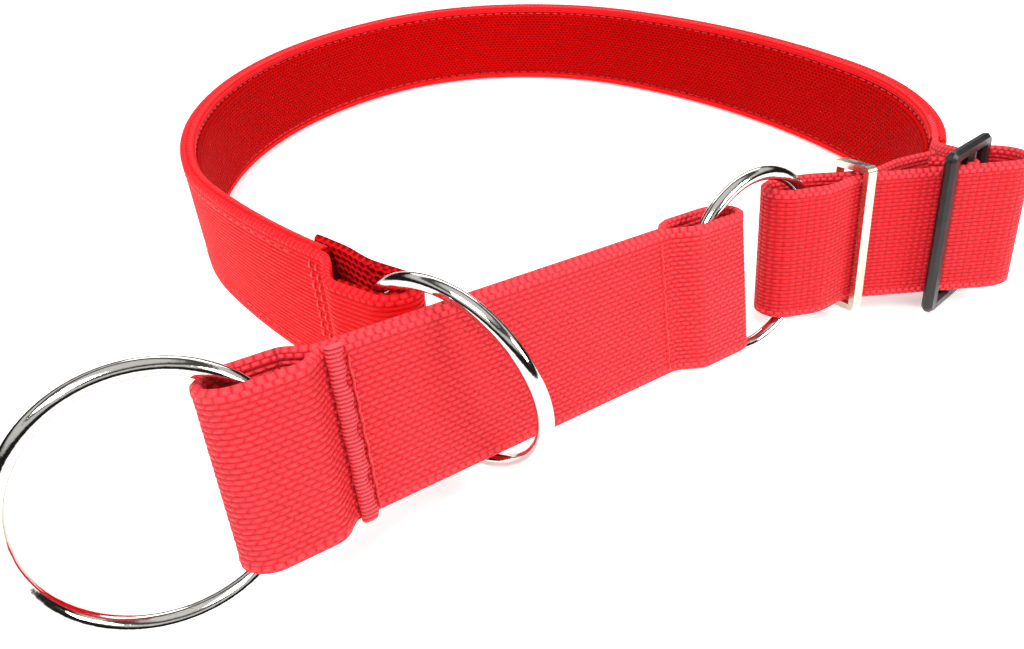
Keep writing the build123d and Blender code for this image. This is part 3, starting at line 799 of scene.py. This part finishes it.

# The strap's cut end: a folded lip with a wavy heat-sealed edge; its brighter, pinker colour is a painted
# highlight on the raised lip.
LIP_ROWS = 130
LIP_SECTION = ((-0.9, 0.0), (-1.0, 0.8), (-0.75, 1.25), (0.1, 1.4), (0.85, 1.2), (1.15, 0.75), (1.1, 0.0))
LIP_DEPTH_SCALE = 0.92
LIP_FROM_SEAM = 0.85
LIP_WAVE, LIP_WAVE_LENGTHS = 0.16, (3.4, 7.3)
lip_heights = np.linspace(0.1, WEB_WIDTH - 0.1, LIP_ROWS)
lip_start = in_strap([(left_seam_x + LIP_FROM_SEAM, -WEB_THICK)])[0]
lip_vertices, lip_faces = [], []
for height in lip_heights:
    wave = LIP_WAVE * sum(sin(2 * pi * height / length) for length in LIP_WAVE_LENGTHS)
    for place, depth in LIP_SECTION:
        shift = wave if place > 0.3 else 0.25 * wave
        lip_vertices.append(lip_start + strap_along * (place + shift) - strap_back * depth * LIP_DEPTH_SCALE
                            + strap_width * height)
sides = len(LIP_SECTION)
for row in range(LIP_ROWS - 1):
    for side in range(sides):
        beside = (side + 1) % sides
        lip_faces.append((row * sides + side, row * sides + beside, (row + 1) * sides + beside,
                          (row + 1) * sides + side))
lip_faces.append(tuple(range(sides)))
lip_faces.append(tuple((LIP_ROWS - 1) * sides + side for side in range(sides - 1, -1, -1)))
lip_uvs = [(place, height) for height in lip_heights for place, _ in LIP_SECTION]
lip = make_mesh("pull_strap_cut_lip", lip_vertices, lip_faces, "pull_strap", lip_uvs)
dress(outward_faces(lip), CUT_END_HIGHLIGHT_FACE)
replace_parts(lip, "pull_strap_cut_end")

STRAP_STITCH_HEIGHTS = np.arange(STITCH_MARGIN - 0.8, WEB_WIDTH - STITCH_MARGIN + 1.0, 1.55)
STRAP_STITCH_FACE = 1.36
STRAP_STITCH_LEAN = 0.12


def strap_seam(name, node, place):
    """A row of thread across the strap, on both faces."""
    places, ways, ups = [], [], []
    for face in (-1.0, 1.0):
        for step, height in enumerate(STRAP_STITCH_HEIGHTS):
            lean = STRAP_STITCH_LEAN if step % 2 else -STRAP_STITCH_LEAN
            spot = STRAP_CORNER + strap_along * place + strap_back * face * STRAP_STITCH_FACE
            places.append(spot + strap_width * height)
            ways.append(unit(strap_width + strap_along * lean))
            ups.append(strap_back * face)
    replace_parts(stitches(name, places, ways, ups, 1.75, 0.24, "pull_strap"), node)


strap_seam("pull_strap_left_stitches", "pull_strap_left_seam", left_seam_x + 2.8)
strap_seam("pull_strap_right_stitches", "pull_strap_right_seam", right_seam_x - 1.2)

# ---------------------------------------------------------------- adjuster
adjuster_width = unit(ADJUSTER_WIDTH_AXIS)
adjuster_x = unit(np.array((1.0, 0.0, -ADJUSTER_WIDTH_AXIS[0] / ADJUSTER_WIDTH_AXIS[2])))
adjuster_y = np.cross(adjuster_width, adjuster_x)


def in_adjuster(points):
    """Points of the adjuster's own plan, at its lower edge, in the shared frame."""
    points = np.asarray(points, float)
    return ADJUSTER_ORIGIN + points[:, :1] * adjuster_x + points[:, 1:] * adjuster_y


def outward_in_adjuster(plan):
    """Outward direction at each point of a line in the adjuster's plan."""
    ways = tangents(plan)
    return ways[:, 1:] * adjuster_x - ways[:, :1] * adjuster_y


fold_way = heading_vector(ADJUSTER_FOLD_HEADING)
fold_line = pocket_points(ADJUSTER_FOLD, ADJUSTER_FOLD_HEADING, POCKET_HALF, ADJUSTER_POCKET_STRAIGHT)
rear_line = []
rear_at, rear_way = fold_line[-1], fold_way
for stop, stop_way in zip(REAR_PLY, REAR_PLY_WAYS):
    rear_line += hermite(rear_at, rear_way, stop, stop_way)
    rear_at, rear_way = np.array(stop), stop_way
adjuster_plan = rear_line[::-1] + fold_line[::-1]
front_start, front_end = [np.array((x, FRONT_PLY_Y)) for x in FRONT_PLY]
adjuster_plan += hermite(fold_line[0], fold_way, front_start, (1.0, 0.0))
adjuster_plan += line_points(front_start, front_end)
bulge, _, bulge_heading = arc_points(front_end, 0.0, BULGE_RADIUS, BULGE_TURN, 0.5)
adjuster_plan += bulge
adjuster_plan = smoothed(even(adjuster_plan, ADJUSTER_STEP), 2)

# Both plies are drawn in a little where the keeper slides towards the fold.
keeper_press = KEEPER_PRESS * np.exp(-((adjuster_plan[:, 0] - KEEPER_PRESS_X) / KEEPER_PRESS_WIDTH) ** 2)
adjuster_plan[:, 1] += keeper_press * np.clip((KEEPER_MIDDLE_Y - adjuster_plan[:, 1]) / 1.5, -1, 1)
plane_centres = in_adjuster(adjuster_plan)
plane_outward = outward_in_adjuster(adjuster_plan)
plane_across = np.tile(adjuster_width, (len(plane_centres), 1))

# From the bulge the tape twists upright and runs back along the band, where it is sewn on.
tab_points = run_points(RIGHT_ARCS, BEND_HEADING - 180, TAB_DEPTH)[0][::-1][:TAB_POINTS]
half_up = UP * WEB_WIDTH / 2
bulge_middle = plane_centres[-1] + adjuster_width * WEB_WIDTH / 2
bulge_way = unit(cos(radians(bulge_heading)) * adjuster_x + sin(radians(bulge_heading)) * adjuster_y)
turn_middle = np.array(TURN_MIDDLE) + half_up
turn_way = np.array((*heading_vector(TURN_MIDDLE_HEADING), 0.0))
tab_middle = np.array((*tab_points[0], 0.0)) + half_up
tab_way = np.array((*heading_vector(right_end_heading + 180), 0.0))
twist_centres = hermite(bulge_middle, bulge_way, turn_middle, turn_way)
twist_centres += hermite(turn_middle, turn_way, tab_middle, tab_way)
twist_rows = len(twist_centres)
twist_centres += [np.array((*point, WEB_WIDTH / 2)) for point in tab_points[1:]]
twist_centres = np.array(twist_centres)
shares = np.clip(np.arange(1, len(twist_centres) + 1) / twist_rows, 0, 1)
shares = shares * shares * (3 - 2 * shares)
twist_across = np.array([unit(adjuster_width * (1 - share) + UP * share) for share in shares])
twist_ways = tangents(np.vstack([bulge_middle, twist_centres]))[1:]
twist_outward = np.array([unit(np.cross(way, across)) for way, across in zip(twist_ways, twist_across)])
twist_corners = twist_centres - twist_across * WEB_WIDTH / 2

adjuster_centres = np.vstack([plane_centres, twist_corners])
adjuster_across = np.vstack([plane_across, twist_across])
adjuster_outward = np.vstack([plane_outward, twist_outward])
vertices, faces, uvs = sweep(adjuster_centres, adjuster_across, adjuster_outward,
                             webbing_profile(WEB_WIDTH, WEB_THICK, TAPE_SPACING, selvage=0.02))
adjuster = make_mesh("adjuster_tape", vertices, faces, "right_arm", uvs)
dress(outward_faces(adjuster), ADJUSTER_FACE)
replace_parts(adjuster, "adjuster_webbing")

# The tape's return end wraps the slider's centre bar.
centre_bar = np.array(SLIDER_NEAR_BAR) + heading_vector(SLIDER_ANGLE) * SLIDER_BAR_PITCH
wrap = [centre_bar + heading_vector(angle) * RETURN_RADIUS for angle in np.linspace(*RETURN_WRAP, 24)]
return_plan = wrap + hermite(wrap[-1], heading_vector(RETURN_WRAP[1] + 90), RETURN_END, RETURN_END_WAY)
return_plan = even(return_plan, RETURN_STEP)
return_centres = in_adjuster(return_plan)
return_across = np.tile(adjuster_width, (len(return_centres), 1))
vertices, faces, uvs = sweep(return_centres, return_across, outward_in_adjuster(return_plan),
                             webbing_profile(WEB_WIDTH, RETURN_THICK, TAPE_SPACING, selvage=0.08))
return_end = make_mesh("adjuster_return_tape", vertices, faces, "slider", uvs)
dress(outward_faces(return_end), ADJUSTER_FACE)
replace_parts(return_end, "adjuster_return_end")

RETURN_SEAM_BACK, RETURN_SEAM_FACE = 1.8, 0.5
return_way = unit(np.array(RETURN_END_WAY))
return_side = np.array((-return_way[1], return_way[0]))
return_spot = np.array(RETURN_END) - return_way * RETURN_SEAM_BACK
places, stitch_ways, ups = [], [], []
for side in (-1.0, 1.0):
    spot = in_adjuster([return_spot + return_side * side * RETURN_SEAM_FACE])[0]
    out = side * (return_side[0] * adjuster_x + return_side[1] * adjuster_y)
    for height in np.arange(STITCH_MARGIN, WEB_WIDTH - STITCH_MARGIN, 1.8):
        places.append(spot + adjuster_width * height)
        stitch_ways.append(adjuster_width)
        ups.append(out)
return_stitches = stitches("return_end_stitches", places, stitch_ways, ups, 1.5, 0.2, "slider")
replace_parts(return_stitches, "return_end_stitching")

# Two rows join the adjuster to the band, each this many millimetres from the band's right end.
JOIN_SETBACKS = (3, 13)
arm = run_points(RIGHT_ARCS, BEND_HEADING - 180, 0.0)[0][::-1]
places, stitch_ways, ups = [], [], []
for setback in JOIN_SETBACKS:
    arm_way = unit(arm[setback + 1] - arm[setback - 1])
    outward = np.array((arm_way[1], -arm_way[0]))
    for height in np.arange(STITCH_MARGIN, WEB_WIDTH - STITCH_MARGIN, 1.9):
        places.append(np.array((*(arm[setback] + outward * 0.12), height)))
        stitch_ways.append(UP)
        ups.append(np.array((*outward, 0.0)))
join_stitches = stitches("adjuster_join_stitches", places, stitch_ways, ups, 1.6, 0.24, "right_arm")
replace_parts(join_stitches, "adjuster_join_stitching")

# ---------------------------------------------------------------- hardware kept from the CAD model
dress(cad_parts["tri_glide_slider"], BLACK)
dress(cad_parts["strap_keeper"], KEEPER_NICKEL)

# ---------------------------------------------------------------- floor, light and camera
floor_material = Nodes("pale_floor")
floor_material.set(Base_Color=(0.9, 0.9, 0.9, 1), Roughness=0.85,
                   Emission_Color=(1.0, 1.0, 1.0, 1), Emission_Strength=0.42)
FLOOR_HALF = 6
floor_corners = [(x * FLOOR_HALF, y * FLOOR_HALF, 0) for x, y in ((-1, -1), (1, -1), (1, 1), (-1, 1))]
floor_mesh = bpy.data.meshes.new("floor")
floor_mesh.from_pydata(floor_corners, [], [(0, 1, 2, 3)])
floor = bpy.data.objects.new("floor", floor_mesh)
bpy.context.scene.collection.objects.link(floor)
floor_mesh.materials.append(floor_material.material)
floor.location.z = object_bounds()[0][2]

# The sky is dark and bright bands by height, which the rings reflect: (place, level) from below to above.
SKY_BANDS = ((0.0, 0.3), (0.05, 0.02), (0.36, 0.02), (0.46, 0.85), (0.62, 1.0), (0.68, 0.12), (0.8, 0.1),
             (0.9, 1.0))
world = bpy.data.worlds.new("studio")
world.use_nodes = True
sky = world.node_tree
sky_place = sky.nodes.new("ShaderNodeTexCoord")
sky_split = sky.nodes.new("ShaderNodeSeparateXYZ")
sky_ramp = sky.nodes.new("ShaderNodeValToRGB")
sky.links.new(sky_place.outputs["Generated"], sky_split.inputs[0])
sky.links.new(sky_split.outputs[2], sky_ramp.inputs[0])
sky.links.new(sky_ramp.outputs["Color"], sky.nodes["Background"].inputs["Color"])
sky.nodes["Background"].inputs["Strength"].default_value = 0.82
bands = sky_ramp.color_ramp.elements
while len(bands) < len(SKY_BANDS):
    bands.new(0.5)
for band, (place, level) in zip(bands, SKY_BANDS):
    band.position = place
    band.color = (level, level, level, 1)
bpy.context.scene.world = world


def area_light(name, place, aim, power, size_x, size_y):
    """A rectangular lamp at a place in metres, turned to its aim."""
    lamp = bpy.data.lights.new(name, "AREA")
    lamp.shape = "RECTANGLE"
    lamp.energy = power
    lamp.size, lamp.size_y = size_x, size_y
    light = bpy.data.objects.new(name, lamp)
    light.location = place
    light.rotation_euler = (Vector(aim) - Vector(place)).to_track_quat("-Z", "Y").to_euler()
    bpy.context.scene.collection.objects.link(light)


area_light("key", (-0.25, -0.45, 0.7), (0, -0.04, 0), 7.6, 0.5, 0.35)
area_light("side", (0.65, -0.35, 0.4), (0, -0.05, 0.01), 4.4, 0.3, 0.3)
area_light("back", (0.0, 0.75, 0.5), (0, 0, 0.01), 3.0, 0.9, 0.3)

CAMERA_PLACE = (-8.75, -200.0, 89.75)
CAMERA_PITCH, CAMERA_ROLL = 35.0, -2.47
CAMERA_LENS, CAMERA_SENSOR = 27.88, 36.0
pitch, roll = radians(CAMERA_PITCH), radians(CAMERA_ROLL)
look = Vector((0, cos(pitch), -sin(pitch)))
side_way = Vector((1, 0, 0))
top_way = side_way.cross(look)
camera_right = side_way * cos(roll) + top_way * sin(roll)
camera_up = top_way * cos(roll) - side_way * sin(roll)
camera_data = bpy.data.cameras.new("camera")
camera_data.sensor_width = CAMERA_SENSOR
camera_data.lens = CAMERA_LENS
camera_data.clip_start = 0.005
camera = bpy.data.objects.new("camera", camera_data)
turned = Matrix((camera_right, camera_up, -look)).transposed()
camera.matrix_world = Matrix.Translation(Vector(CAMERA_PLACE) * MM) @ turned.to_4x4()
bpy.context.scene.collection.objects.link(camera)
bpy.context.scene.camera = camera
bpy.context.scene.view_settings.view_transform = "Standard"
